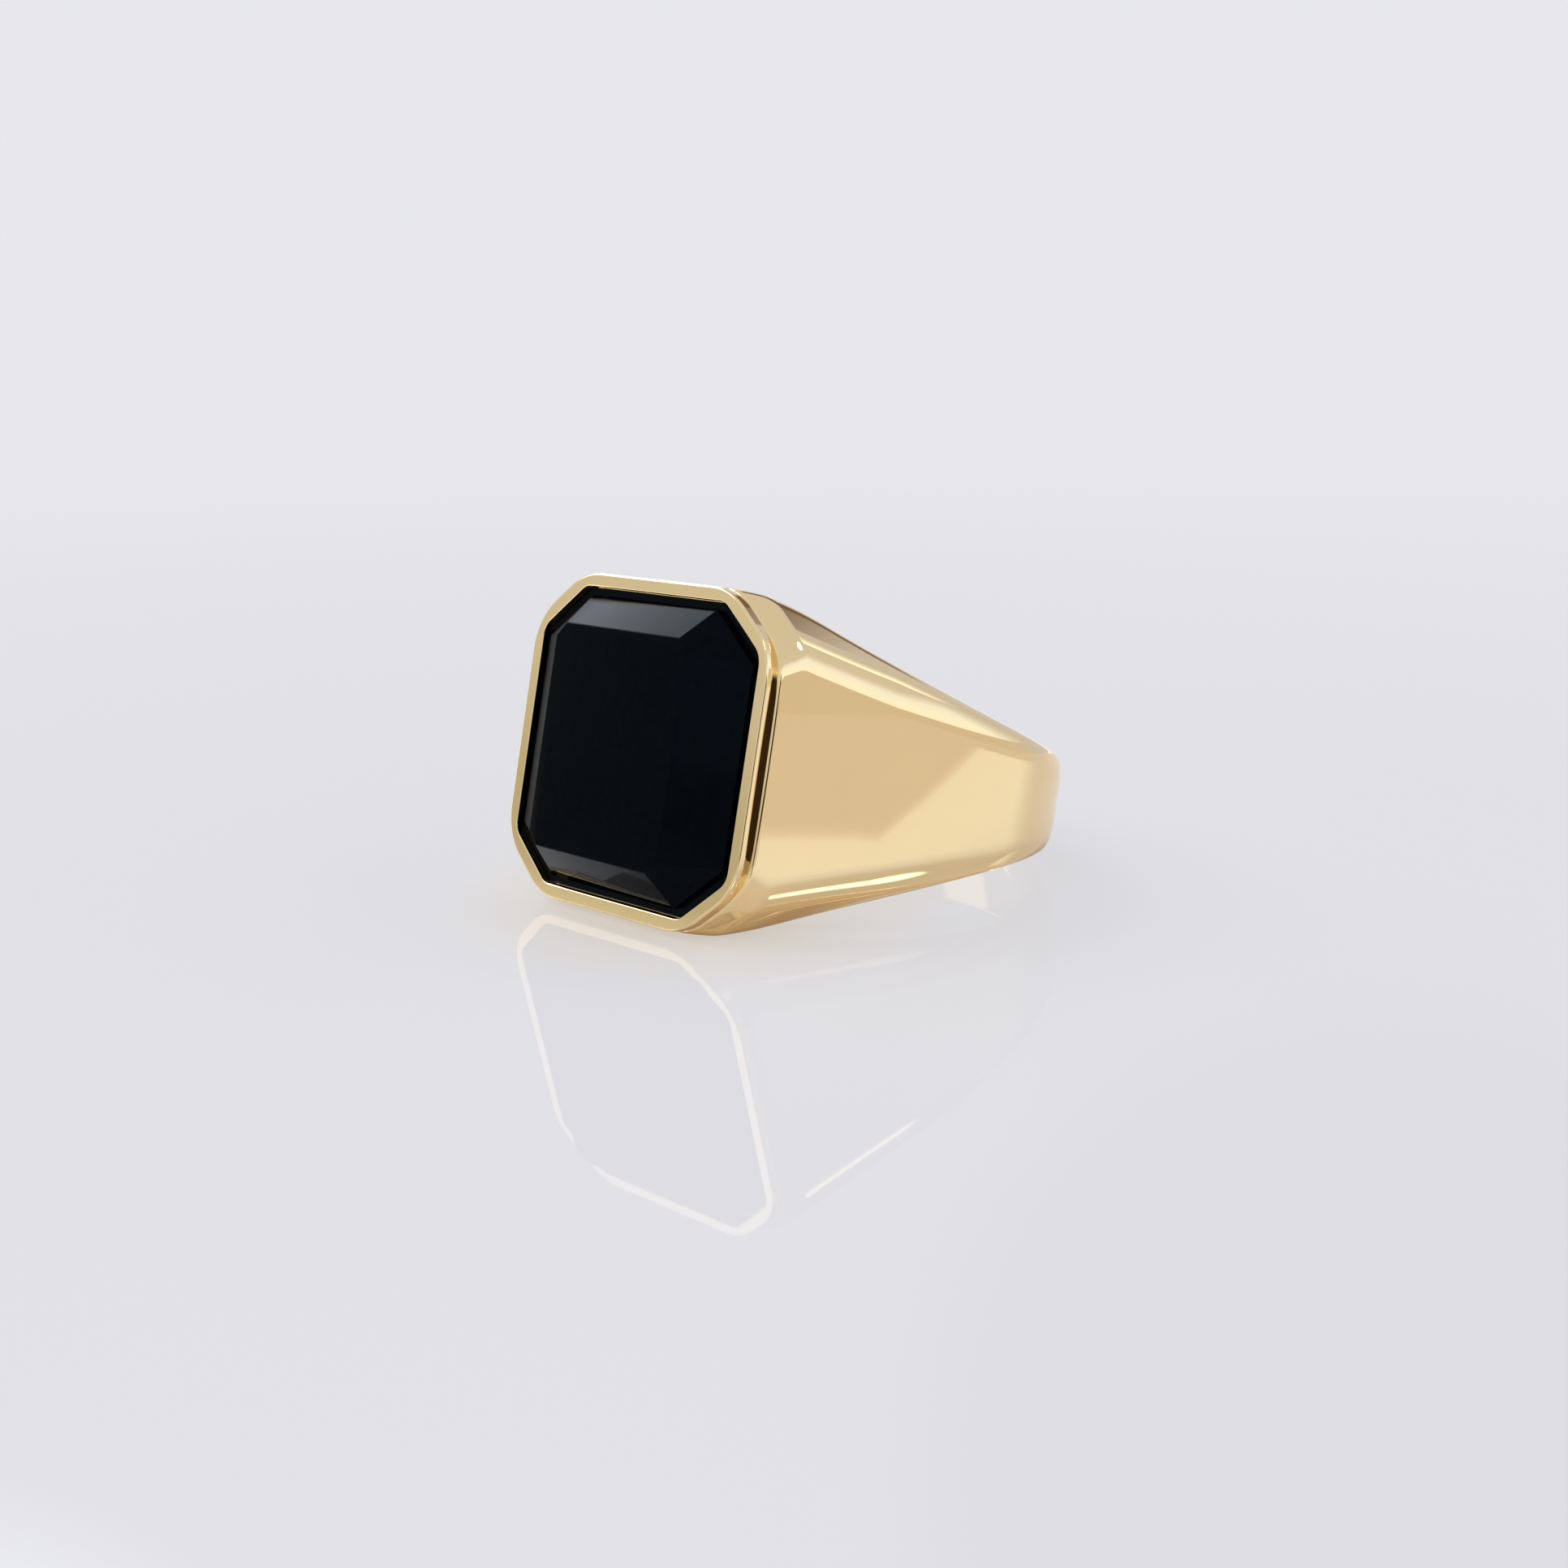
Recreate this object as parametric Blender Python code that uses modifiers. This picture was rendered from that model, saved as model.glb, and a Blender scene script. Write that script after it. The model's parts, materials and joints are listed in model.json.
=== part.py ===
"""Men's signet ring with a step-cut onyx in a plain octagonal bezel.

The ring lies on its side, the way it rests on a table: the side of the head
and the back of the shank touch the ground, so the stone faces -Y and tips a
little upwards. Every piece is drawn in the ring's own frame and parented to
one empty, which holds that resting pose:

    X  across the finger, the ring is symmetric about X = 0
    Y  depth, 0 at the front of the bezel and growing towards the back
    Z  along the finger
"""
import math

import bmesh
import bpy
from mathutils import Vector

MM = 0.001

# Driving dimensions, in metres.
BORE_RADIUS = 18.95 * MM / 2          # US ring size 9
SHANK_RADIUS = BORE_RADIUS + 1.40 * MM
FACE_TO_BORE_AXIS = 13.10 * MM        # front of the bezel to the middle of the finger hole
CLEARANCE = 0.30 * MM                 # gap between neighbouring pieces

RIM_HALF_WIDTH = 7.48 * MM            # outside of the bezel, across the finger
RIM_HALF_HEIGHT = 7.34 * MM           # outside of the bezel, along the finger
RIM_CUT_WIDTH = 2.85 * MM             # corner cut of the bezel, across the finger
RIM_CUT_HEIGHT = 2.33 * MM
RIM_THICKNESS = 0.62 * MM
BEZEL_DEPTH = 0.50 * MM
BEZEL_EDGE = 0.15 * MM                # rounding of the bezel's front edges

HEAD_FRONT = BEZEL_DEPTH + CLEARANCE  # plateau of the head that carries the bezel
SHOULDER_HALF_WIDTH = 7.90 * MM       # the shoulders stand a little outside the bezel
HEAD_STRAIGHT_END = 1.60 * MM         # the head's sides run straight back to here
SHANK_HALF_HEIGHT = 2.10 * MM         # half the shank's width at the back
TAPER_POWER = 2.4                     # how fast the shoulders narrow towards the shank
CORNER_RUN = 10.0 * MM                # length over which the corner cut fades out
CORNER_POWER = 1.3
SHANK_EASE = 0.25 * MM                # small edge break left on the shank
CORNER_SKEW = 1.15                    # corner cut, width over height

POCKET_FLOOR = 2.50 * MM
POCKET_INSET = 1.13 * MM              # pocket wall, inside the bezel's outline
SEAT_THICKNESS = 0.90 * MM
SEAT_FRONT = 0.75 * MM

STONE_HALF_WIDTH = 6.50 * MM
STONE_HALF_HEIGHT = 6.36 * MM
STONE_CUT_WIDTH = 2.56 * MM
STONE_CUT_HEIGHT = 2.10 * MM
TABLE_HALF_WIDTH = 4.15 * MM
TABLE_HALF_HEIGHT = 4.95 * MM
TABLE_CUT_WIDTH = 0.55 * MM
TABLE_CUT_HEIGHT = 0.60 * MM
TABLE_RISE = 1.50 * MM                # the table stands this far in front of the bezel
CROWN_BASE = 0.10 * MM                # depth where the crown's steps begin
CEMENT_THICKNESS = 0.40 * MM

SHOULDER_STATIONS = 12
TURN_STATIONS = 15
BORE_SEGMENTS = 96

# The taper starts where the head's straight sides end, and ends at the back.
BACK = FACE_TO_BORE_AXIS + SHANK_RADIUS
TAPER_RUN = BACK - HEAD_STRAIGHT_END

# Resting pose: the head's side edge and the back of the shank share the ground.
TILT = math.atan2(RIM_HALF_HEIGHT - SHANK_HALF_HEIGHT, TAPER_RUN)
REST_HEIGHT = HEAD_STRAIGHT_END * math.sin(TILT) + RIM_HALF_HEIGHT * math.cos(TILT)
FRONT_REACH = TABLE_RISE * math.cos(TILT) + TABLE_HALF_HEIGHT * math.sin(TILT)
BACK_REACH = BACK * math.cos(TILT) + SHANK_HALF_HEIGHT * math.sin(TILT)

GOLD = (0.83, 0.62, 0.29)


def clear_scene():
    for item in list(bpy.data.objects):
        bpy.data.objects.remove(item, do_unlink=True)


def make_collection(name):
    collection = bpy.data.collections.new(name)
    bpy.context.scene.collection.children.link(collection)
    return collection


def make_material(name, color, metallic, roughness):
    material = bpy.data.materials.new(name)
    material.use_nodes = True
    material.diffuse_color = (*color, 1.0)
    shader = material.node_tree.nodes["Principled BSDF"]
    shader.inputs["Base Color"].default_value = (*color, 1.0)
    shader.inputs["Metallic"].default_value = metallic
    shader.inputs["Roughness"].default_value = roughness
    return material


def add_object(name, bm, collection, pose, material=None):
    """Turns a bmesh into an object that hangs on the resting pose."""
    bmesh.ops.recalc_face_normals(bm, faces=bm.faces)
    mesh = bpy.data.meshes.new(name)
    bm.to_mesh(mesh)
    bm.free()
    item = bpy.data.objects.new(name, mesh)
    collection.objects.link(item)
    item.parent = pose
    if material:
        mesh.materials.append(material)
    return item


def cut_with(item, cutter):
    """Subtracts a cutter, which stays in the file as a wire guide."""
    cutter.hide_render = True
    cutter.display_type = "WIRE"
    modifier = item.modifiers.new("cut_" + cutter.name, "BOOLEAN")
    modifier.operation = "DIFFERENCE"
    modifier.solver = "EXACT"
    modifier.object = cutter


def octagon(half_width, half_height, cut_width, cut_height, depth):
    """Corners of an upright octagon at one depth, in order round the stone."""
    corners = []
    for sign_x, sign_z, flip in ((1, 1, False), (-1, 1, True), (-1, -1, False), (1, -1, True)):
        side = (sign_x * half_width, sign_z * (half_height - cut_height))
        end = (sign_x * (half_width - cut_width), sign_z * half_height)
        pair = (end, side) if flip else (side, end)
        corners += [Vector((x, depth, z)) for x, z in pair]
    return corners


def inset_octagon(inset):
    """Sizes of the bezel's outline moved inwards by the same distance on all sides."""
    slant = math.hypot(RIM_CUT_WIDTH, RIM_CUT_HEIGHT)
    shrink = inset * (RIM_CUT_WIDTH + RIM_CUT_HEIGHT - slant) / RIM_CUT_WIDTH
    cut_height = RIM_CUT_HEIGHT - shrink
    cut_width = cut_height * RIM_CUT_WIDTH / RIM_CUT_HEIGHT
    return RIM_HALF_WIDTH - inset, RIM_HALF_HEIGHT - inset, cut_width, cut_height


def loft(rings):
    """Closed solid through rings of corners that correspond one to one."""
    bm = bmesh.new()
    loops = [[bm.verts.new(corner) for corner in ring] for ring in rings]
    count = len(loops[0])
    for near, far in zip(loops, loops[1:]):
        for i in range(count):
            j = (i + 1) % count
            bm.faces.new((near[i], near[j], far[j], far[i]))
    bm.faces.new(loops[0])
    bm.faces.new(loops[-1])
    return bm


def octagonal_prism(sizes, front, back):
    return loft([octagon(*sizes, depth) for depth in (front, back)])


def shoulder_tangent():
    """Angle on the shank's circle where the straight shoulder line touches it."""
    offset = HEAD_FRONT - FACE_TO_BORE_AXIS
    distance = math.hypot(SHOULDER_HALF_WIDTH, offset)
    return math.atan2(offset, SHOULDER_HALF_WIDTH) + math.acos(SHANK_RADIUS / distance)


def shank_point(angle):
    """Half width and depth of the shank's circle; 0 is its side, 90 degrees its back."""
    depth = FACE_TO_BORE_AXIS + SHANK_RADIUS * math.sin(angle)
    return SHANK_RADIUS * math.cos(angle), depth


def half_height_at(depth):
    """Half the body's width along the finger: straight head, then a hollow taper."""
    if depth <= HEAD_STRAIGHT_END:
        return RIM_HALF_HEIGHT
    left = 1.0 - (depth - HEAD_STRAIGHT_END) / TAPER_RUN
    drop = RIM_HALF_HEIGHT - SHANK_HALF_HEIGHT
    return SHANK_HALF_HEIGHT + drop * max(left, 0.0) ** TAPER_POWER


def corner_cut_at(depth):
    """Height of the corner cut, which continues the bezel's and fades out."""
    left = max(1.0 - (depth - HEAD_FRONT) / CORNER_RUN, 0.0)
    over = SHOULDER_HALF_WIDTH - RIM_HALF_WIDTH
    start = RIM_CUT_HEIGHT * (1.0 + over / RIM_CUT_WIDTH)
    return SHANK_EASE + (start - SHANK_EASE) * left ** CORNER_POWER


def body_stations():
    """Half width and depth of each section, from the head to the back of the shank."""
    tangent = shoulder_tangent()
    end_width, end_depth = shank_point(tangent)
    stations = []
    for i in range(SHOULDER_STATIONS):
        t = (i / SHOULDER_STATIONS) ** 1.4
        width = SHOULDER_HALF_WIDTH + (end_width - SHOULDER_HALF_WIDTH) * t
        stations.append((width, HEAD_FRONT + (end_depth - HEAD_FRONT) * t))
    step = (math.pi / 2 - tangent) / (TURN_STATIONS + 0.5)
    for i in range(TURN_STATIONS + 1):
        stations.append(shank_point(tangent + i * step))
    return stations


def make_bore_cutter(collection, pose):
    bm = bmesh.new()
    bmesh.ops.create_cone(
        bm,
        cap_ends=True,
        segments=BORE_SEGMENTS,
        radius1=BORE_RADIUS,
        radius2=BORE_RADIUS,
        depth=4 * RIM_HALF_HEIGHT,
    )
    bmesh.ops.translate(bm, verts=bm.verts, vec=(0, FACE_TO_BORE_AXIS, 0))
    return add_object("bore_cutter", bm, collection, pose)


def make_ring_body(collection, cutters, pose, gold):
    """Cast shank, shoulders and head in one piece, with the finger hole and pocket."""
    rings = []
    for width, depth in body_stations():
        height = half_height_at(depth)
        cut_height = corner_cut_at(depth)
        cut_width = min(cut_height * CORNER_SKEW, 0.8 * width)
        rings.append(octagon(width, height, cut_width, cut_height, depth))
    body = add_object("ring_body", loft(rings), collection, pose, gold)
    pocket = octagonal_prism(inset_octagon(POCKET_INSET), 0.0, POCKET_FLOOR)
    cut_with(body, add_object("pocket_cutter", pocket, cutters, pose))
    cut_with(body, make_bore_cutter(cutters, pose))
    body.data.shade_smooth()
    body.data.set_sharp_from_angle(angle=math.radians(25))
    return body


def make_frame(name, outer_inset, inner_inset, front, back, collection, cutters, pose, material):
    """Octagonal frame between two outlines, both parallel to the bezel's."""
    outer = octagonal_prism(inset_octagon(outer_inset), front, back)
    frame = add_object(name, outer, collection, pose, material)
    reach = back - front
    inner = octagonal_prism(inset_octagon(inner_inset), front - reach, back + reach)
    cut_with(frame, add_object(name + "_cutter", inner, cutters, pose))
    return frame


def make_bezel_collar(collection, cutters, pose, gold):
    """Frame round the stone, soldered on the head's plateau."""
    collar = make_frame(
        "bezel_collar", 0.0, RIM_THICKNESS, 0.0, BEZEL_DEPTH, collection, cutters, pose, gold
    )
    bevel = collar.modifiers.new("eased_edges", "BEVEL")
    bevel.width = BEZEL_EDGE
    bevel.segments = 2
    bevel.limit_method = "ANGLE"
    bevel.angle_limit = math.radians(60)
    return collar


def make_stone_seat(collection, cutters, pose, gold):
    """Bearing inside the pocket, on which the stone's girdle rests."""
    outer = POCKET_INSET + CLEARANCE
    return make_frame(
        "stone_seat",
        outer,
        outer + SEAT_THICKNESS,
        SEAT_FRONT,
        POCKET_FLOOR - CLEARANCE,
        collection,
        cutters,
        pose,
        gold,
    )


def make_onyx_stone(collection, pose, onyx):
    """Step-cut stone: table, crown steps, upright girdle and a stub inside the seat."""
    table = (TABLE_HALF_WIDTH, TABLE_HALF_HEIGHT, TABLE_CUT_WIDTH, TABLE_CUT_HEIGHT)
    girdle = (STONE_HALF_WIDTH, STONE_HALF_HEIGHT, STONE_CUT_WIDTH, STONE_CUT_HEIGHT)
    seat_inset = POCKET_INSET + CLEARANCE + SEAT_THICKNESS
    underside = SEAT_FRONT - CLEARANCE
    tip = POCKET_FLOOR - 2 * CLEARANCE - CEMENT_THICKNESS
    rings = [
        octagon(*table, -TABLE_RISE),
        octagon(*girdle, CROWN_BASE),
        octagon(*girdle, underside),
        octagon(*inset_octagon(seat_inset + CLEARANCE), underside),
        octagon(*inset_octagon(seat_inset + 3 * CLEARANCE), tip),
    ]
    return add_object("onyx_stone", loft(rings), collection, pose, onyx)


def make_setting_cement(collection, pose, cement):
    """Thin bed of jeweller's cement between the pocket's floor and the stone."""
    back = POCKET_FLOOR - CLEARANCE
    inset = POCKET_INSET + CLEARANCE + SEAT_THICKNESS + CLEARANCE
    bed = octagonal_prism(inset_octagon(inset), back - CEMENT_THICKNESS, back)
    return add_object("setting_cement", bed, collection, pose, cement)


def make_resting_pose(collection):
    """Empty that lays the ring on its side, centred over the origin."""
    pose = bpy.data.objects.new("resting_pose", None)
    pose.rotation_euler = (-TILT, 0.0, 0.0)
    pose.location = (0.0, (FRONT_REACH - BACK_REACH) / 2, REST_HEIGHT)
    collection.objects.link(pose)
    return pose


def main():
    clear_scene()
    ring = make_collection("signet_ring")
    cutters = make_collection("cutters")
    pose = make_resting_pose(ring)
    gold = make_material("polished_gold", GOLD, 1.0, 0.12)
    seat_gold = make_material("seat_gold", GOLD, 1.0, 0.35)
    onyx = make_material("black_onyx", (0.008, 0.009, 0.013), 0.0, 0.08)
    cement = make_material("setting_cement", (0.55, 0.50, 0.42), 0.0, 0.6)
    make_ring_body(ring, cutters, pose, gold)
    make_bezel_collar(ring, cutters, pose, gold)
    make_stone_seat(ring, cutters, pose, seat_gold)
    make_onyx_stone(ring, pose, onyx)
    make_setting_cement(ring, pose, cement)


main()
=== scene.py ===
"""Looks of the signet ring: polished gold and step-cut onyx on glossy white acrylic.

Lengths below are millimetres in the ring's own frame, which the record's mount
on the stone's table fixes in the world:

    x  across the finger, y  depth behind the bezel's front, z  along the finger
"""
import json
import math

import bpy
import numpy as np
from mathutils import Matrix, Vector


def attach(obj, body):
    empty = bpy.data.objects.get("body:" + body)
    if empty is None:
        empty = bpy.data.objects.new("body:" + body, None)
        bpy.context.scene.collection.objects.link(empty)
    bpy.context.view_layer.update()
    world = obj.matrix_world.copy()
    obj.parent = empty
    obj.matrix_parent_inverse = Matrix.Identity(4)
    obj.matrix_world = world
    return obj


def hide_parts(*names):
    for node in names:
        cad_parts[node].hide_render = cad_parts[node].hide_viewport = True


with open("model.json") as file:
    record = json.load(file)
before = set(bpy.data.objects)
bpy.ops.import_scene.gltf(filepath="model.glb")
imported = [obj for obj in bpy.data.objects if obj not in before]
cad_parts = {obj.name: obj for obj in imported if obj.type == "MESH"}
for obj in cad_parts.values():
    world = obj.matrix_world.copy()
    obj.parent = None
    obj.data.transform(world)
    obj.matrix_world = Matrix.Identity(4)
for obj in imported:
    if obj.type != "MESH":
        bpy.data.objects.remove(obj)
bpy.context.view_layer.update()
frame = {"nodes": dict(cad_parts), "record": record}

MM = 0.001

# The ring's main sizes, as in the CAD model.
BORE_RADIUS = 9.475
SHANK_RADIUS = BORE_RADIUS + 1.40
BORE_AXIS = 13.10                 # depth of the finger hole's middle
RIM_HALF = (7.48, 7.34)           # outside of the bezel: across, along the finger
RIM_CUT = (2.85, 2.33)            # its corner cuts
RIM_THICKNESS = 0.62
BEZEL_DEPTH = 0.50
SHOULDER_HALF_WIDTH = 7.90
SHOULDER_FRONT = 0.80
SHANK_HALF_HEIGHT = 2.10
POCKET_FLOOR = 2.50
POCKET_INSET = 1.13
TABLE_RISE = 1.50

# Where the visible body is fuller or finer than the CAD model's.
TAPER_START = 2.30                # depth where the head begins to narrow
TAPER_POWER = 2.1
SHOULDER_ARC_RADIUS = 22.0        # the straight shoulder eases into the shank's circle
SIDE_BARREL = 0.0034              # the shoulder's sides are very slightly domed
CHAMFER_FRONT = 5.35              # height where the chamfer leaves the shoulder, at the head
CHAMFER_BACK = 1.85               # and at the back of the shank
CHAMFER_POWER = 1.75
CHAMFER_HEAD = 4.72               # at the very front it continues the bezel's corner
CHAMFER_HEAD_SLOPE = 0.50
CHAMFER_SKEW = 1.15               # the chamfer's width over its height

# Softness of the polished edges: lengths over which two faces blend.
BEND_BLEND = 0.90                 # head's side into the taper
CHAMFER_HEAD_BLEND = 0.15
CHAMFER_SIDE_BLEND = 0.85
CHAMFER_TOP_BLEND = 0.42
FRONT_BLEND = 0.11
BORE_BLEND = 0.35

GRID_STEP = 0.12
RELAX_ROUNDS = 3


# ---------------------------------------------------------------- placing

def ring_to_world():
    """Matrix from the ring's frame in millimetres to the world, from the stone's mount."""
    mount = frame["record"]["mounts"][0]
    forward = Vector(mount["axis"]).normalized()
    up = Vector((1, 0, 0)).cross(forward).normalized()
    if up.z < 0:
        up = -up
    origin = Vector(mount["pos_m"]) - forward * TABLE_RISE * MM
    basis = Matrix((Vector((1, 0, 0)), -forward, up)).transposed() * MM
    return Matrix.Translation(origin) @ basis.to_4x4()


PLACE = ring_to_world()


def add_piece(name, points, faces, material, normals=None, sharp_angle=None):
    """Mesh object from points in the ring's frame, with exact normals where given."""
    matrix = np.array(PLACE)
    world = np.asarray(points) @ matrix[:3, :3].T + matrix[:3, 3]
    mesh = bpy.data.meshes.new(name)
    mesh.from_pydata(world.tolist(), [], [list(map(int, face)) for face in faces])
    mesh.materials.append(material)
    mesh.shade_smooth()
    if normals is not None:
        turned = np.asarray(normals) @ (matrix[:3, :3] / MM).T
        mesh.normals_split_custom_set_from_vertices(turned.tolist())
    if sharp_angle is not None:
        mesh.set_sharp_from_angle(angle=math.radians(sharp_angle))
    piece = bpy.data.objects.new(name, mesh)
    bpy.context.scene.collection.objects.link(piece)
    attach(piece, "root")
    return piece


# ---------------------------------------------------------------- the gold body

def smooth_max(a, b, blend):
    """Larger of two distances, with a fillet where they are nearly equal."""
    near = np.maximum(blend - np.abs(a - b), 0.0) / blend
    return np.maximum(a, b) + near * near * blend / 4


def smooth_min(a, b, blend):
    return -smooth_max(-a, -b, blend)


def inset_octagon(inset):
    """Half sizes and corner cuts of the bezel's outline moved inwards."""
    slant = math.hypot(*RIM_CUT)
    shrink = inset * (RIM_CUT[0] + RIM_CUT[1] - slant) / RIM_CUT[0]
    cut_height = RIM_CUT[1] - shrink
    cut_width = cut_height * RIM_CUT[0] / RIM_CUT[1]
    return RIM_HALF[0] - inset, RIM_HALF[1] - inset, cut_width, cut_height


def octagon_distance(x, z, sizes):
    half_width, half_height, cut_width, cut_height = sizes
    slant = math.hypot(cut_width, cut_height)
    across = (x - half_width) * cut_height + (z - half_height + cut_height) * cut_width
    return np.maximum(np.maximum(x - half_width, z - half_height), across / slant)


def half_height_at(y):
    """Half the body along the finger: straight head, soft bend, hollow taper."""
    run = BORE_AXIS + SHANK_RADIUS - TAPER_START
    left = np.maximum(1.0 - (y - TAPER_START) / run, 0.0)
    drop = RIM_HALF[1] - SHANK_HALF_HEIGHT
    taper = SHANK_HALF_HEIGHT + drop * left ** TAPER_POWER
    return smooth_min(taper, RIM_HALF[1], BEND_BLEND)


def chamfer_start_at(y):
    """Height on the shoulder where the chamfer begins."""
    run = BORE_AXIS + SHANK_RADIUS - SHOULDER_FRONT
    left = np.clip(1.0 - (y - SHOULDER_FRONT) / run, 0.0, 1.2)
    along = CHAMFER_BACK + (CHAMFER_FRONT - CHAMFER_BACK) * left ** CHAMFER_POWER
    head = CHAMFER_HEAD + CHAMFER_HEAD_SLOPE * (y - BEZEL_DEPTH)
    return smooth_min(along, head, CHAMFER_HEAD_BLEND)


def outline_distance(x, y):
    """Distance outside the outline seen along the finger: shoulder, easing arc, shank."""
    middle = SHANK_RADIUS - SHOULDER_ARC_RADIUS
    across, offset = SHOULDER_HALF_WIDTH - middle, SHOULDER_FRONT - BORE_AXIS
    reach = math.hypot(across, offset)
    turn = math.atan2(offset, across) + math.acos(SHOULDER_ARC_RADIUS / reach)
    normal = (math.cos(turn), math.sin(turn))
    touch = (middle + SHOULDER_ARC_RADIUS * normal[0], BORE_AXIS + SHOULDER_ARC_RADIUS * normal[1])
    line = (x - touch[0]) * normal[0] + (y - touch[1]) * normal[1]
    arc = np.hypot(x - middle, y - BORE_AXIS) - SHOULDER_ARC_RADIUS
    circle = np.hypot(x, y - BORE_AXIS) - SHANK_RADIUS
    before = (touch[1] - y) * normal[0] + (x - touch[0]) * normal[1] > 0
    return np.where(before, line, np.where(y < BORE_AXIS, arc, circle))


def body_field(x, y, z):
    """Signed distance, nearly, to the ring body: negative in the gold."""
    x = np.abs(x)
    z = np.abs(z)
    height = half_height_at(y)
    reach = 0.01
    slope = (half_height_at(y + reach) - half_height_at(y - reach)) / (2 * reach)
    steep = np.sqrt(1.0 + slope * slope)
    side = outline_distance(x, y) + SIDE_BARREL * z * z
    top = (z - height) / steep
    rise = CHAMFER_SKEW * (z - chamfer_start_at(y))
    chamfer = (side + rise) / math.hypot(1.0, CHAMFER_SKEW)
    chamfer = chamfer - CHAMFER_SIDE_BLEND / 8     # makes up for part of the blend's shrinking
    field = smooth_max(side, chamfer, CHAMFER_SIDE_BLEND)
    field = smooth_max(field, top, CHAMFER_TOP_BLEND)
    field = smooth_max(field, BEZEL_DEPTH - y, FRONT_BLEND)
    field = smooth_max(field, BORE_RADIUS - np.hypot(x, y - BORE_AXIS), BORE_BLEND)
    pocket = np.maximum(octagon_distance(x, z, inset_octagon(POCKET_INSET)), y - POCKET_FLOOR)
    return np.maximum(field, -pocket)


def field_gradient(field, points):
    tiny = 1e-3
    columns = []
    for axis in range(3):
        ahead, behind = points.copy(), points.copy()
        ahead[:, axis] += tiny
        behind[:, axis] -= tiny
        columns.append((field(*ahead.T) - field(*behind.T)) / (2 * tiny))
    return np.stack(columns, axis=1)


def surface_net(field, low, high, step):
    """Quads over the zero surface of a field, one vertex in each cell that it crosses."""
    axes = [np.arange(a - 2 * step, b + 3 * step, step) for a, b in zip(low, high)]
    values = field(axes[0][:, None, None], axes[1][None, :, None], axes[2][None, None, :])
    inside = values < 0
    sizes = [n - 1 for n in values.shape]
    corners = [(i, j, k) for i in (0, 1) for j in (0, 1) for k in (0, 1)]

    def corner(array, offset):
        return array[tuple(slice(o, o + n) for o, n in zip(offset, sizes))]

    count = sum(corner(inside, c).astype(np.int8) for c in corners)
    crossed = (count > 0) & (count < 8)
    cells = np.argwhere(crossed)
    index = np.full(crossed.shape, -1, np.int64)
    index[crossed] = np.arange(len(cells))
    total = np.zeros((len(cells), 3))
    weight = np.zeros(len(cells))
    for start in corners:
        for axis in range(3):
            if start[axis]:
                continue
            end = tuple(1 if a == axis else start[a] for a in range(3))
            one = corner(values, start)[crossed]
            two = corner(values, end)[crossed]
            cut = (one < 0) != (two < 0)
            share = one[cut] / (one[cut] - two[cut])
            spot = np.tile(np.array(start, float), (cut.sum(), 1))
            spot[:, axis] += share
            total[cut] += spot
            weight[cut] += 1
    origin = np.array([a[0] for a in axes])
    points = origin + step * (cells + total / weight[:, None])
    quads = []
    for axis in range(3):
        other, third = (axis + 1) % 3, (axis + 2) % 3
        along = [slice(None)] * 3
        ahead = [slice(None)] * 3
        along[axis], ahead[axis] = slice(0, -1), slice(1, None)
        near, far = inside[tuple(along)], inside[tuple(ahead)]
        edges = np.argwhere(near != far)
        leaving = near[tuple(edges.T)]
        ring = []
        for a, b in ((1, 1), (0, 1), (0, 0), (1, 0)):
            cell = edges.copy()
            cell[:, other] -= a
            cell[:, third] -= b
            ring.append(index[tuple(cell.T)])
        quad = np.stack(ring, axis=1)
        quad[~leaving] = quad[~leaving][:, ::-1]
        quads.append(quad)
    return points, np.concatenate(quads)


def relax_onto(field, points, quads, rounds):
    """Evens out the vertices and puts them exactly on the surface."""
    most = 0.1                        # longest step that a vertex takes towards the surface
    edges = np.concatenate([quads[:, [i, (i + 1) % 4]] for i in range(4)])
    for turn in range(rounds):
        total = np.zeros_like(points)
        for axis in range(3):
            total[:, axis] = np.bincount(edges[:, 0], points[edges[:, 1], axis], len(points))
            total[:, axis] += np.bincount(edges[:, 1], points[edges[:, 0], axis], len(points))
        weight = np.bincount(edges[:, 0], minlength=len(points))
        weight = weight + np.bincount(edges[:, 1], minlength=len(points))
        points = points + 0.5 * (total / weight[:, None] - points)
        for again in range(2):
            slope = field_gradient(field, points)
            length = np.maximum((slope * slope).sum(axis=1), 1e-3)
            shift = np.clip(field(*points.T) / length, -most, most)
            points = points - slope * shift[:, None]
    return points


def make_body(gold):
    width, back = SHANK_RADIUS, BORE_AXIS + SHANK_RADIUS
    low, high = (-width, BEZEL_DEPTH, -RIM_HALF[1]), (width, back, RIM_HALF[1])
    points, quads = surface_net(body_field, low, high, GRID_STEP)
    points = relax_onto(body_field, points, quads, RELAX_ROUNDS)
    normals = field_gradient(body_field, points)
    normals /= np.linalg.norm(normals, axis=1)[:, None]
    body = add_piece("gold_ring_body", points, quads, gold, normals)
    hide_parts("ring_body")
    return body


# ---------------------------------------------------------------- bezel and stone

OUTER_CORNER = 3.1                # radii of the bezel's corners
INNER_CORNER = 0.85
OUTER_ROUND = 0.10                # rounding of the bezel's front edges
INNER_ROUND = 0.07
ROUND_STEPS = 6
FACE_HOLD = 0.01                  # keeps the flat faces flat right up to the roundings
FACE_MIDDLE = 0.30                # inset of the loop in the middle of the front face
JOINT = 0.002                     # hairline between the bezel and the body

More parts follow.
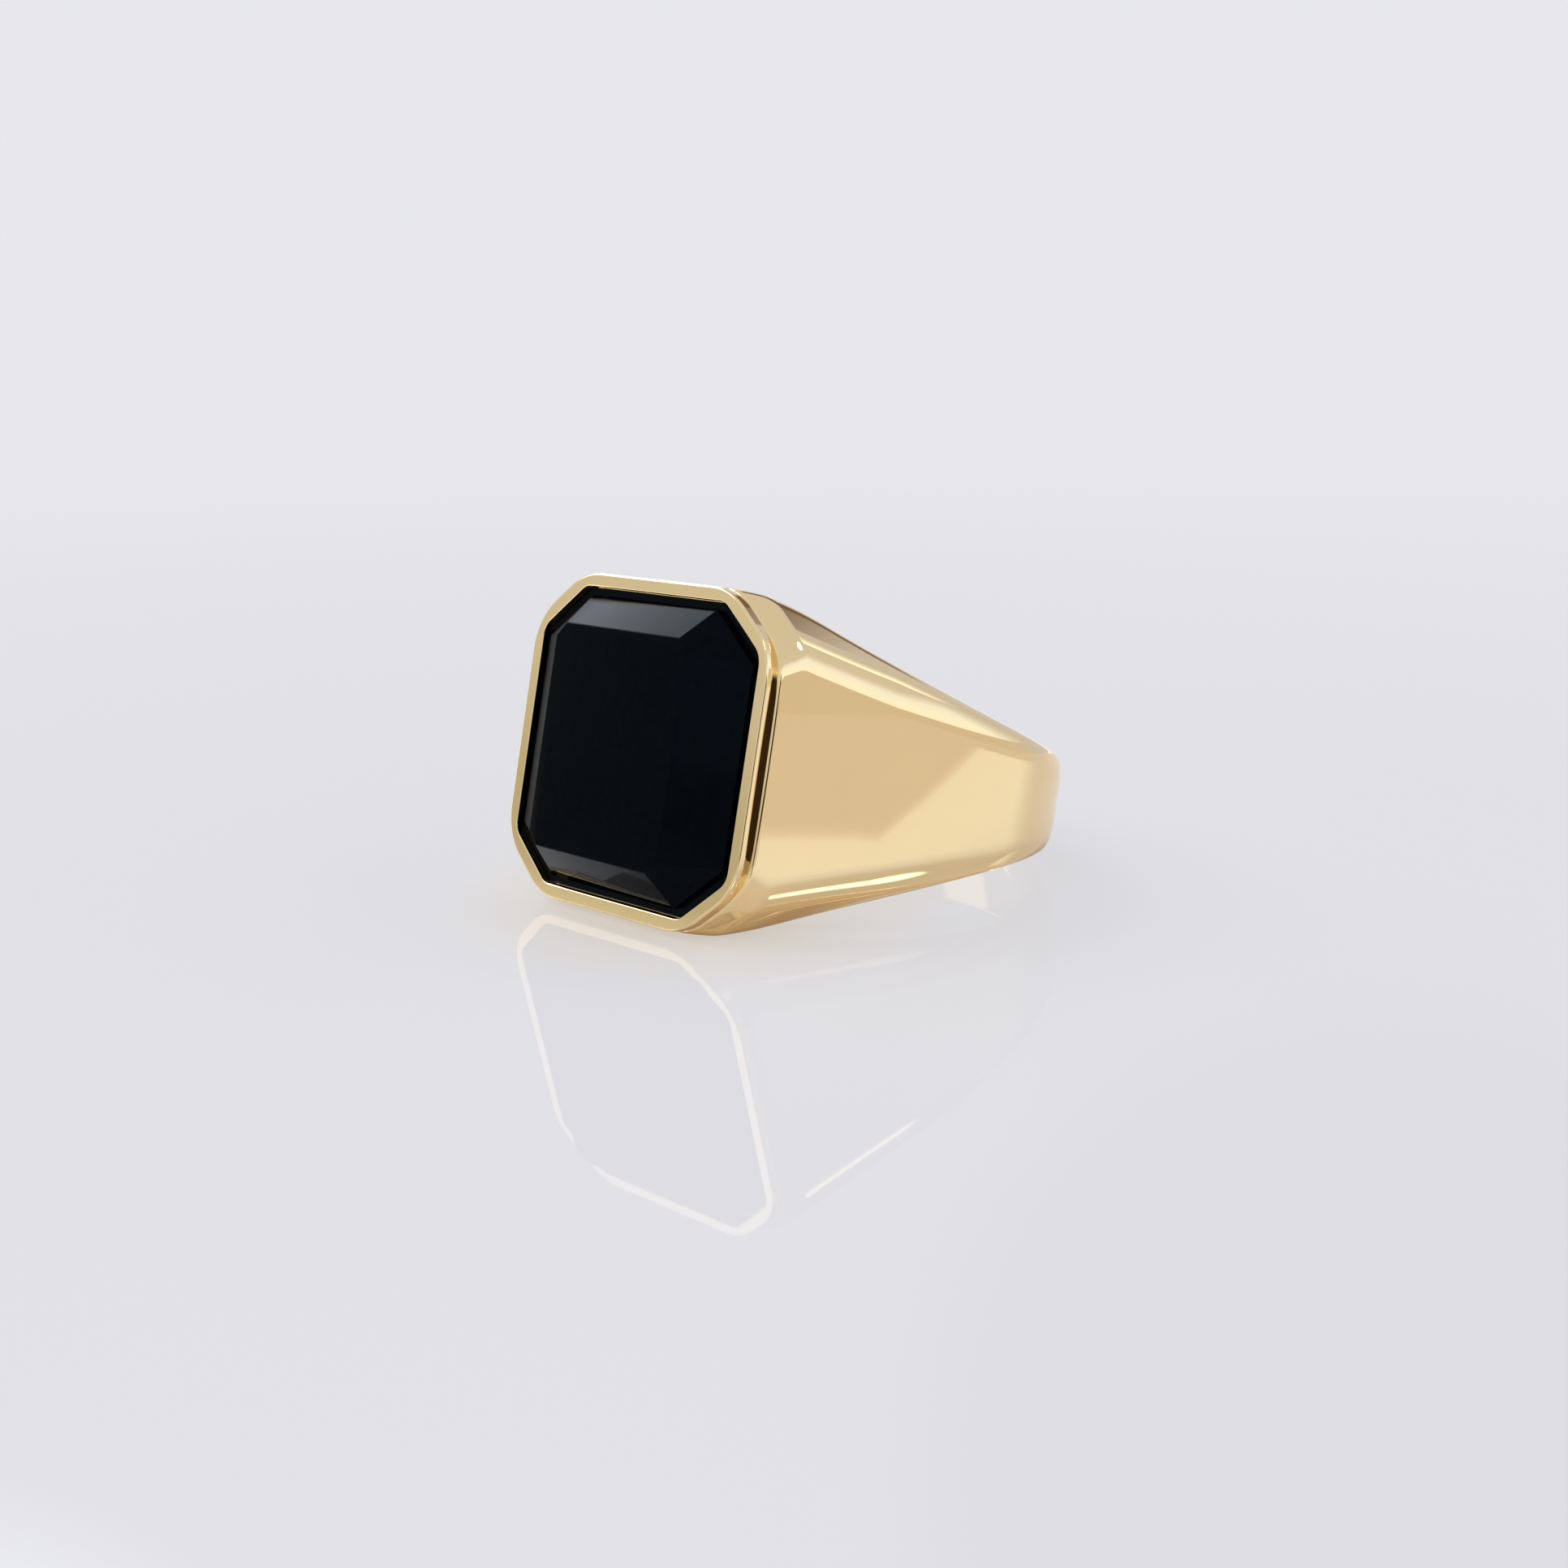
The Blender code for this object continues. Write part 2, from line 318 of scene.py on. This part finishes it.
# Outlines of the stone: half sizes and corner cuts.
STONE_TABLE = (4.15, 4.95, 0.55, 0.60)
STONE_CROWN = (6.50, 6.36, 2.56, 2.10)
STONE_GIRDLE = (6.84, 6.70, 2.45, 2.00)
STONE_KEEL = (5.00, 4.86, 1.95, 1.60)
CROWN_DEPTH = 0.10
GIRDLE_DEPTH = 0.42
STONE_DEPTH = 1.45
TABLE_BREAK = (-0.02, 0.012)      # tiny break round the table, as shares of the crown's width
TABLE_BREAK_SLOPE = 1.3
GIRDLE_STEPS = (0.02, 0.04)       # depths over which the outline steps out and back in
FACET_CORNER = 0.03


def octagon_corners(sizes):
    half_width, half_height, cut_width, cut_height = sizes
    corners = []
    for sign_x, sign_z, flip in ((1, 1, False), (-1, 1, True), (-1, -1, False), (1, -1, True)):
        pair = [
            (sign_x * half_width, sign_z * (half_height - cut_height)),
            (sign_x * (half_width - cut_width), sign_z * half_height),
        ]
        corners += pair[::-1] if flip else pair
    return [Vector(corner) for corner in corners]


def rounded_octagon(sizes, radius, arc_steps, side_steps=1):
    """Outline with round corners; the same counts give points that correspond."""
    corners = octagon_corners(sizes)
    stretches = []
    for i, corner in enumerate(corners):
        before = (corners[i - 1] - corner).normalized()
        after = (corners[(i + 1) % 8] - corner).normalized()
        half_angle = before.angle(after) / 2
        reach = radius / math.tan(half_angle)
        middle = corner + (before + after).normalized() * radius / math.sin(half_angle)
        start, end = corner + before * reach - middle, corner + after * reach - middle
        turn = start.angle_signed(end)
        arc = []
        for j in range(arc_steps + 1):
            angle = -turn * j / arc_steps
            arc.append(middle + Matrix.Rotation(angle, 2) @ start)
        stretches.append(arc)
    outline = []
    for i, arc in enumerate(stretches):
        following = stretches[(i + 1) % 8][0]
        outline += arc
        for j in range(1, side_steps):
            outline.append(arc[-1].lerp(following, j / side_steps))
    return outline


def loft_faces(rings, size, closed):
    faces = []
    last = rings if closed else rings - 1
    for i in range(last):
        for j in range(size):
            k = (j + 1) % size
            near, far = i * size, ((i + 1) % rings) * size
            faces.append((near + j, near + k, far + k, far + j))
    return faces


def collar_profile():
    """Section of the bezel: inset from its outline and depth, once round."""
    back = BEZEL_DEPTH - JOINT
    section = [(0.0, back), (0.0, 0.7 * BEZEL_DEPTH), (0.0, OUTER_ROUND + FACE_HOLD)]
    for i in range(ROUND_STEPS + 1):
        angle = math.pi / 2 * i / ROUND_STEPS
        inset = OUTER_ROUND * (1 - math.cos(angle))
        section.append((inset, OUTER_ROUND * (1 - math.sin(angle))))
    section += [(OUTER_ROUND + FACE_HOLD, 0.0), (FACE_MIDDLE, 0.0)]
    section.append((RIM_THICKNESS - INNER_ROUND - FACE_HOLD, 0.0))
    for i in range(ROUND_STEPS + 1):
        angle = math.pi / 2 * i / ROUND_STEPS
        inset = RIM_THICKNESS - INNER_ROUND * (1 - math.sin(angle))
        section.append((inset, INNER_ROUND * (1 - math.cos(angle))))
    section += [(RIM_THICKNESS, BEZEL_DEPTH / 2), (RIM_THICKNESS, back)]
    section.append((RIM_THICKNESS / 2, back))
    return section


def make_collar(gold):
    points = []
    section = collar_profile()
    for inset, depth in section:
        radius = OUTER_CORNER + (INNER_CORNER - OUTER_CORNER) * inset / RIM_THICKNESS
        outline = rounded_octagon(inset_octagon(inset), radius, 10, 12)
        points += [(p.x, depth, p.y) for p in outline]
    size = len(points) // len(section)
    faces = loft_faces(len(section), size, True)
    collar = add_piece("gold_bezel_collar", points, faces, gold, sharp_angle=40)
    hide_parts("bezel_collar")
    return collar


def blend_sizes(one, two, share):
    return tuple(a + (b - a) * share for a, b in zip(one, two))


def make_stone(onyx):
    """Table, eight crown steps, a steep step to the girdle and a flat base."""
    table, crown = STONE_TABLE, STONE_CROWN
    inner, outer = TABLE_BREAK
    step_out, step_in = GIRDLE_STEPS
    levels = [
        (blend_sizes(table, crown, inner), -TABLE_RISE),
        (blend_sizes(table, crown, outer), -TABLE_RISE + TABLE_BREAK_SLOPE * outer),
        (crown, CROWN_DEPTH),
        (crown, GIRDLE_DEPTH - step_out),
        (STONE_GIRDLE, GIRDLE_DEPTH),
        (STONE_KEEL, GIRDLE_DEPTH + step_in),
        (STONE_KEEL, STONE_DEPTH),
    ]
    points = []
    for sizes, depth in levels:
        outline = rounded_octagon(sizes, FACET_CORNER, 2)
        points += [(p.x, depth, p.y) for p in outline]
    size = len(points) // len(levels)
    faces = loft_faces(len(levels), size, False)
    faces.append(tuple(range(size - 1, -1, -1)))
    last = (len(levels) - 1) * size
    faces.append(tuple(range(last, last + size)))
    stone = add_piece("onyx_gem", points, faces, onyx, sharp_angle=12)
    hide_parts("onyx_stone")
    return stone


# ---------------------------------------------------------------- materials

def new_material(name):
    material = bpy.data.materials.new(name)
    material.use_nodes = True
    tree = material.node_tree
    return material, tree, tree.nodes["Principled BSDF"]


def noise(tree, scale, detail=2.0, stretch=None):
    """Noise texture in object space; scale is in cycles per metre."""
    place = tree.nodes.new("ShaderNodeTexCoord")
    texture = tree.nodes.new("ShaderNodeTexNoise")
    texture.inputs["Scale"].default_value = scale
    texture.inputs["Detail"].default_value = detail
    source = place.outputs["Object"]
    if stretch:
        mapping = tree.nodes.new("ShaderNodeMapping")
        mapping.inputs["Scale"].default_value = stretch
        tree.links.new(source, mapping.inputs["Vector"])
        source = mapping.outputs["Vector"]
    tree.links.new(source, texture.inputs["Vector"])
    return texture.outputs["Fac"]


def remap(tree, value, low, high, start=0.0, stop=1.0):
    node = tree.nodes.new("ShaderNodeMapRange")
    node.inputs["From Min"].default_value = start
    node.inputs["From Max"].default_value = stop
    node.inputs["To Min"].default_value = low
    node.inputs["To Max"].default_value = high
    tree.links.new(value, node.inputs["Value"])
    return node.outputs["Result"]


def bump(tree, value, distance, under=None):
    node = tree.nodes.new("ShaderNodeBump")
    node.inputs["Strength"].default_value = 1.0
    node.inputs["Distance"].default_value = distance
    tree.links.new(value, node.inputs["Height"])
    if under:
        tree.links.new(under, node.inputs["Normal"])
    return node.outputs["Normal"]


def mix_colors(tree, factor, one, two):
    mix = tree.nodes.new("ShaderNodeMix")
    mix.data_type = "RGBA"
    tree.links.new(factor, mix.inputs["Factor"])
    for name, value in (("A", one), ("B", two)):
        if isinstance(value, tuple):
            mix.inputs[name].default_value = (*value, 1.0)
        else:
            tree.links.new(value, mix.inputs[name])
    return mix.outputs["Result"]


GOLD_COLOR = (0.90, 0.70, 0.38)
GOLD_ROUGHNESS = (0.025, 0.05)
GOLD_RIPPLE = 2.0e-6              # metres
GOLD_PATCH = 0.96                 # shade of the soft deeper patches
HAIRLINE = 0.012                  # depth of the hairlines over that of the ripple
HAIRLINE_STRETCH = (1.0, 1.0, 0.06)
SEAT_COLOR = (0.83, 0.62, 0.29)
SEAT_ROUGHNESS = (0.30, 0.42)
SEAT_RIPPLE = 6.0e-6
ONYX_DARK = (0.0002, 0.0012, 0.0026)
ONYX_LIGHT = (0.0008, 0.0022, 0.0040)
ONYX_TINT = (0.70, 0.92, 1.0, 1.0)
ONYX_IOR = 1.12
ONYX_ROUGHNESS = (0.04, 0.09)
ONYX_EDGE_ON = (0.72, 0.84)       # how edge on a facet is seen while it turns dull
ONYX_DULL = 0.5                   # roughness that this adds
CEMENT_DARK = (0.50, 0.46, 0.38)
CEMENT_LIGHT = (0.60, 0.55, 0.46)
CEMENT_GRAIN = 2.0e-5


def polished_gold(name, color, roughness, ripple):
    """Gold with the faint ripple of its polish, hairlines and soft patches."""
    material, tree, shader = new_material(name)
    shader.inputs["Metallic"].default_value = 1.0
    deeper = tuple(GOLD_PATCH * share for share in color)
    patches = mix_colors(tree, noise(tree, 420.0, 4.0), color, deeper)
    tree.links.new(patches, shader.inputs["Base Color"])
    rough = remap(tree, noise(tree, 1300.0, 5.0), *roughness, 0.3, 0.7)
    tree.links.new(rough, shader.inputs["Roughness"])
    wave = bump(tree, noise(tree, 330.0), ripple)
    lines = noise(tree, 9000.0, stretch=HAIRLINE_STRETCH)
    hair = bump(tree, lines, ripple * HAIRLINE, under=wave)
    tree.links.new(hair, shader.inputs["Normal"])
    return material


def seat_gold():
    """The same gold, as cast and filed."""
    return polished_gold("seat_gold", SEAT_COLOR, SEAT_ROUGHNESS, SEAT_RIPPLE)


def black_onyx():
    """Glossy near-black stone with faint lighter grain, duller where seen nearly edge on."""
    material, tree, shader = new_material("black_onyx")
    grain = remap(tree, noise(tree, 2500.0, 6.0), 0.0, 1.0, 0.35, 0.75)
    tree.links.new(mix_colors(tree, grain, ONYX_DARK, ONYX_LIGHT), shader.inputs["Base Color"])
    shader.inputs["IOR"].default_value = ONYX_IOR
    shader.inputs["Specular Tint"].default_value = ONYX_TINT
    rough = remap(tree, noise(tree, 900.0, 4.0), *ONYX_ROUGHNESS, 0.3, 0.7)
    slant = tree.nodes.new("ShaderNodeLayerWeight").outputs["Facing"]
    dull = tree.nodes.new("ShaderNodeMath")
    dull.operation = "ADD"
    tree.links.new(rough, dull.inputs[0])
    tree.links.new(remap(tree, slant, 0.0, ONYX_DULL, *ONYX_EDGE_ON), dull.inputs[1])
    tree.links.new(dull.outputs[0], shader.inputs["Roughness"])
    return material


def cement():
    """Matt, grainy bed under the stone."""
    material, tree, shader = new_material("setting_cement")
    grain = noise(tree, 3500.0, 5.0)
    tree.links.new(mix_colors(tree, grain, CEMENT_DARK, CEMENT_LIGHT), shader.inputs["Base Color"])
    tree.links.new(remap(tree, grain, 0.5, 0.75), shader.inputs["Roughness"])
    tree.links.new(bump(tree, grain, CEMENT_GRAIN), shader.inputs["Normal"])
    return material


def finish_hidden_nodes(seat, bed):
    for name, material, slot in (
        ("stone_seat", seat, "seat_gold"),
        ("setting_cement", bed, "cement"),
    ):
        node = frame["nodes"][name]
        node.data.materials.clear()
        node.data.materials.append(material)


# ---------------------------------------------------------------- stage

# The floor as the camera sees it. Places and distances are metres in the world.
FLOOR_REACH = 0.40
FLOOR_COLOR = (0.17, 0.17, 0.18)
FLOOR_GLOW = (0.545, 0.540, 0.555)    # light that the acrylic passes on from below
FLOOR_PAINTED_BOUNCE = (0.565, 0.505, 0.405)    # painted warm bounce light from the gold, on the floor next to it
PAINTED_BOUNCE_SPOT = (0.001, -0.0085, 0.0)     # middle of the painted bounce light, under the ring's head
PAINTED_BOUNCE_REACH = 0.012
FLOOR_MIRROR = 0.04
MIRROR_ROUGHNESS = 0.02
FLOOR_FADE = (0.04, 0.24)         # distances over which it turns into the backdrop

# The floor as the ring's own reflections see it.
LOW_COLOR = (0.66, 0.63, 0.60)
LOW_PAINTED_LIGHT_AND_SHADE = ((0.75, 0.74, 0.70), (0.15, 0.12, 0.11))    # painted light towards the front light, and painted shade away from it
LOW_PAINTED_LIGHT_SIDES = (-0.06, -0.02)   # along X, where the painted light turns into the painted shade
LOW_MIRROR = (0.16, 0.50)         # share of the mirror, likewise
LOW_MIRROR_SIDES = (0.0, 0.02)


def glossy_white(tree, level):
    node = tree.nodes.new("ShaderNodeBsdfGlossy")
    node.inputs["Color"].default_value = (level, level, level, 1.0)
    node.inputs["Roughness"].default_value = MIRROR_ROUGHNESS
    return node.outputs[0]


def dull_surface(tree, color):
    node = tree.nodes.new("ShaderNodeBsdfDiffuse")
    node.inputs["Color"].default_value = (*color, 1.0)
    return node.outputs[0]


def glow(tree, color):
    node = tree.nodes.new("ShaderNodeEmission")
    if isinstance(color, tuple):
        node.inputs["Color"].default_value = (*color, 1.0)
    else:
        tree.links.new(color, node.inputs["Color"])
    return node.outputs[0]


def add_shaders(tree, one, two):
    node = tree.nodes.new("ShaderNodeAddShader")
    tree.links.new(one, node.inputs[0])
    tree.links.new(two, node.inputs[1])
    return node.outputs[0]


def mix_shaders(tree, factor, one, two):
    node = tree.nodes.new("ShaderNodeMixShader")
    tree.links.new(factor, node.inputs[0])
    tree.links.new(one, node.inputs[1])
    tree.links.new(two, node.inputs[2])
    return node.outputs[0]


def distance_from(tree, place, spot):
    away = tree.nodes.new("ShaderNodeVectorMath")
    away.operation = "DISTANCE"
    away.inputs[1].default_value = spot
    tree.links.new(place, away.inputs[0])
    return away.outputs["Value"]


def acrylic_floor():
    """White acrylic: an even translucent white under a sharp, thin mirror, with a painted pool of
    warm gold bounce light under the ring's head; in the ring's reflections, painted light on one
    side and painted shade on the other.
    """
    material = bpy.data.materials.new("white_acrylic")
    material.use_nodes = True
    tree = material.node_tree
    tree.nodes.clear()
    place = tree.nodes.new("ShaderNodeTexCoord").outputs["Object"]
    # painted pool of warm gold bounce light on the floor under the ring's head
    painted_bounce = remap(tree, distance_from(tree, place, PAINTED_BOUNCE_SPOT), 1.0, 0.0, 0.0, PAINTED_BOUNCE_REACH)
    light = glow(tree, mix_colors(tree, painted_bounce, FLOOR_GLOW, FLOOR_PAINTED_BOUNCE))
    seen = add_shaders(tree, dull_surface(tree, FLOOR_COLOR), light)
    seen = add_shaders(tree, seen, glossy_white(tree, FLOOR_MIRROR))
    fade = remap(tree, distance_from(tree, place, (0.0, 0.0, 0.0)), 0.0, 1.0, *FLOOR_FADE)
    seen = mix_shaders(tree, fade, seen, glow(tree, BACKDROP_COLOR))
    split = tree.nodes.new("ShaderNodeSeparateXYZ")
    tree.links.new(place, split.inputs[0])
    # painted light on the floor's side towards the front light and painted shade on the far side,
    # for the ring's reflections
    painted_shade_side = remap(tree, split.outputs["X"], 0.0, 1.0, *LOW_PAINTED_LIGHT_SIDES)
    light = glow(tree, mix_colors(tree, painted_shade_side, *LOW_PAINTED_LIGHT_AND_SHADE))
    low = add_shaders(tree, dull_surface(tree, LOW_COLOR), light)
    gloss = remap(tree, split.outputs["X"], *LOW_MIRROR, *LOW_MIRROR_SIDES)
    low = mix_shaders(tree, gloss, low, glossy_white(tree, 1.0))
    reflected = tree.nodes.new("ShaderNodeLightPath").outputs["Is Glossy Ray"]
    output = tree.nodes.new("ShaderNodeOutputMaterial")
    tree.links.new(mix_shaders(tree, reflected, seen, low), output.inputs["Surface"])
    return material


def make_floor():
    corners = [
        (-FLOOR_REACH, -FLOOR_REACH, 0.0),
        (FLOOR_REACH, -FLOOR_REACH, 0.0),
        (FLOOR_REACH, FLOOR_REACH, 0.0),
        (-FLOOR_REACH, FLOOR_REACH, 0.0),
    ]
    mesh = bpy.data.meshes.new("floor")
    mesh.from_pydata(corners, [], [(0, 1, 2, 3)])
    mesh.materials.append(acrylic_floor())
    floor = bpy.data.objects.new("floor", mesh)
    bpy.context.scene.collection.objects.link(floor)


# The studio as the ring sees it: colours by elevation, given as heights on the unit sphere.
BACKDROP_COLOR = (0.80, 0.80, 0.83)
ROOM_RIGHT = (
    (-1.00, (0.75, 0.70, 0.665)),
    (0.138, (0.75, 0.70, 0.665)),
    (0.148, (1.14, 1.22, 1.34)),
    (0.22, (1.16, 1.28, 1.46)),
    (0.40, (1.08, 1.20, 1.50)),
    (0.52, (0.76, 0.77, 0.84)),
    (1.00, (0.74, 0.75, 0.80)),
)
ROOM_LEFT = (
    (-1.00, (0.86, 0.87, 0.84)),
    (0.01, (0.86, 0.87, 0.84)),
    (0.04, (0.56, 0.55, 0.50)),
    (0.08, (0.56, 0.55, 0.50)),
    (0.14, (0.68, 0.69, 0.70)),
    (0.30, (0.80, 0.80, 0.83)),
    (1.00, (0.80, 0.81, 0.85)),
)
LEFT_AIM = (-1.0, -0.55, 0.0)     # middle of the room's left part
LEFT_EDGE = (-0.1, 0.3)           # cosines over which the right part turns into it
# Round patches of the room: name, direction, cosine of the edge and of the core, colour.
PATCHES = (
    ("camera_side", (0.76, -0.65, 0.05), 0.92, 0.97, (0.04, 0.03, 0.03)),
    ("front_softbox", (-0.72, -0.46, 0.56), 0.95, 0.975, (4.0, 4.0, 4.1)),
    ("left_softbox", (-0.72, 0.17, 0.67), 0.965, 0.985, (4.1, 4.4, 4.8)),
    ("top_softbox", (0.57, 0.36, 0.74), 0.989, 0.996, (5.0, 5.0, 5.1)),
    ("back_softbox", (0.20, 0.80, 0.56), 0.986, 0.994, (3.5, 3.5, 3.6)),
    ("back_wall", (-0.10, 0.94, 0.33), 0.74, 0.95, (0.68, 0.70, 0.82)),
    ("back_flag", (-0.36, 0.77, 0.52), 0.965, 0.985, (0.20, 0.14, 0.10)),
)


def make_ramp(tree, height, stops):
    """Colour ramp over the height of a direction, from -1 to 1."""
    scaled = tree.nodes.new("ShaderNodeMapRange")
    scaled.inputs["From Min"].default_value = -1.0
    tree.links.new(height, scaled.inputs["Value"])
    ramp = tree.nodes.new("ShaderNodeValToRGB")
    elements = ramp.color_ramp.elements
    while len(elements) < len(stops):
        elements.new(0.5)
    for element, (level, color) in zip(elements, stops):
        element.position = (level + 1.0) / 2
    for element, (level, color) in zip(elements, stops):
        element.color = (*color, 1.0)
    tree.links.new(scaled.outputs["Result"], ramp.inputs["Fac"])
    return ramp.outputs["Color"]


def towards(tree, direction, aim, edge, core):
    """1 where the direction points within the core of an aim, 0 beyond its edge."""
    dot = tree.nodes.new("ShaderNodeVectorMath")
    dot.operation = "DOT_PRODUCT"
    dot.inputs[1].default_value = Vector(aim).normalized()
    tree.links.new(direction, dot.inputs[0])
    share = tree.nodes.new("ShaderNodeMapRange")
    share.interpolation_type = "SMOOTHSTEP"
    share.inputs["From Min"].default_value = edge
    share.inputs["From Max"].default_value = core
    tree.links.new(dot.outputs["Value"], share.inputs["Value"])
    return share.outputs["Result"]


def make_world():
    """Even backdrop behind the ring, and round it a room that the gold reflects."""
    world = bpy.data.worlds.new("studio")
    bpy.context.scene.world = world
    world.use_nodes = True
    tree = world.node_tree
    place = tree.nodes.new("ShaderNodeTexCoord")
    direction = place.outputs["Generated"]
    split = tree.nodes.new("ShaderNodeSeparateXYZ")
    tree.links.new(direction, split.inputs[0])
    right = make_ramp(tree, split.outputs["Z"], ROOM_RIGHT)
    left = make_ramp(tree, split.outputs["Z"], ROOM_LEFT)
    leftness = towards(tree, direction, LEFT_AIM, *LEFT_EDGE)
    room = mix_colors(tree, leftness, right, left)
    for name, aim, edge, core, color in PATCHES:
        room = mix_colors(tree, towards(tree, direction, aim, edge, core), room, color)
    path = tree.nodes.new("ShaderNodeLightPath")
    shown = mix_colors(tree, path.outputs["Is Camera Ray"], room, BACKDROP_COLOR)
    tree.links.new(shown, tree.nodes["Background"].inputs["Color"])


# ---------------------------------------------------------------- camera

CAMERA_AZIMUTH = 44.264           # degrees, 0 looks along +Y
CAMERA_PITCH = -12.716
CAMERA_ROLL = -0.634
CAMERA_OFFSET = (64.10, -56.29, 25.00)   # millimetres from the ground below the bezel's front
CAMERA_LENS = 46.03               # millimetres, as the sensor's width
CAMERA_SENSOR = 36.0
CAMERA_CLIP = (0.005, 10.0)       # metres


def make_camera():
    yaw, pitch, roll = (math.radians(a) for a in (CAMERA_AZIMUTH, CAMERA_PITCH, CAMERA_ROLL))
    run = math.cos(pitch)
    forward = Vector((-math.sin(yaw) * run, math.cos(yaw) * run, math.sin(pitch)))
    level = forward.cross(Vector((0, 0, 1))).normalized()
    rise = level.cross(forward)
    right = math.cos(roll) * level + math.sin(roll) * rise
    up = -math.sin(roll) * level + math.cos(roll) * rise
    lens = bpy.data.cameras.new("camera")
    lens.sensor_width = CAMERA_SENSOR
    lens.lens = CAMERA_LENS
    lens.clip_start, lens.clip_end = CAMERA_CLIP
    camera = bpy.data.objects.new("camera", lens)
    foot = PLACE @ Vector((0, 0, 0))
    place = Vector((0, foot.y, 0)) + Vector(CAMERA_OFFSET) * MM
    turn = Matrix((right, up, -forward)).transposed().to_4x4()
    camera.matrix_world = Matrix.Translation(place) @ turn
    bpy.context.scene.collection.objects.link(camera)
    bpy.context.scene.camera = camera


def set_colour():
    view = bpy.context.scene.view_settings
    view.view_transform = "Standard"
    view.look = "None"
    view.exposure = 0.0
    view.gamma = 1.0


set_colour()
make_world()
gold = polished_gold("polished_gold", GOLD_COLOR, GOLD_ROUGHNESS, GOLD_RIPPLE)
make_body(gold)
make_collar(gold)
make_stone(black_onyx())
finish_hidden_nodes(seat_gold(), cement())
make_floor()
make_camera()
